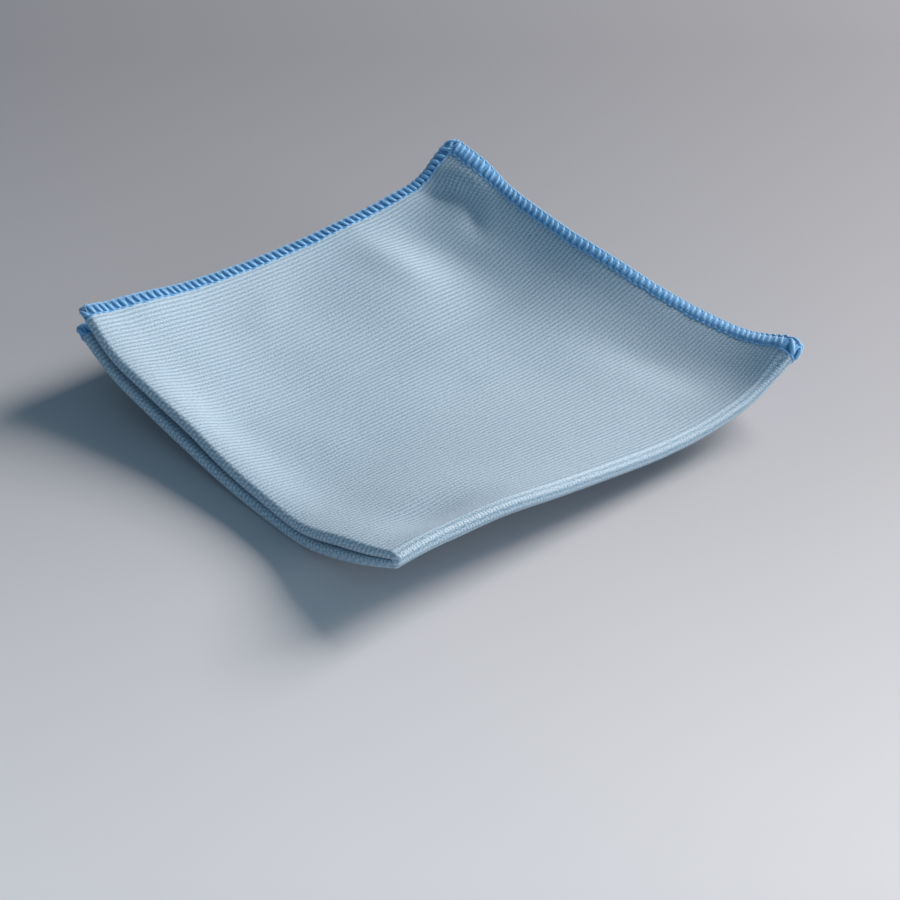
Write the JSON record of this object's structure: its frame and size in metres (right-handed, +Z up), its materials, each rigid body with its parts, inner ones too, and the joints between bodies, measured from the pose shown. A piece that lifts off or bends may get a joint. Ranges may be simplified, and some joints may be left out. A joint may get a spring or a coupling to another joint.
{
  "type": "folded microfibre cloth",
  "caption": "Square ribbed microfibre cloth with an overlocked edge, folded in half and in half again and lying with its rims curled up.",
  "frame": {"origin": "on the surface that the cloth lies on, at the middle of its footprint", "axes": "+Z up from the surface, -X towards the side fold, -Y towards the front fold, the hems along the +X and +Y sides"},
  "size_m": [0.1999, 0.2002, 0.0433],
  "materials": {
    "cloth": "matt ribbed microfibre knit with a faint sheen",
    "edge_thread": "soft overlock thread"
  },
  "bodies": {
    "root": {"folded_cloth": "cloth"}
  },
  "joints": []
}
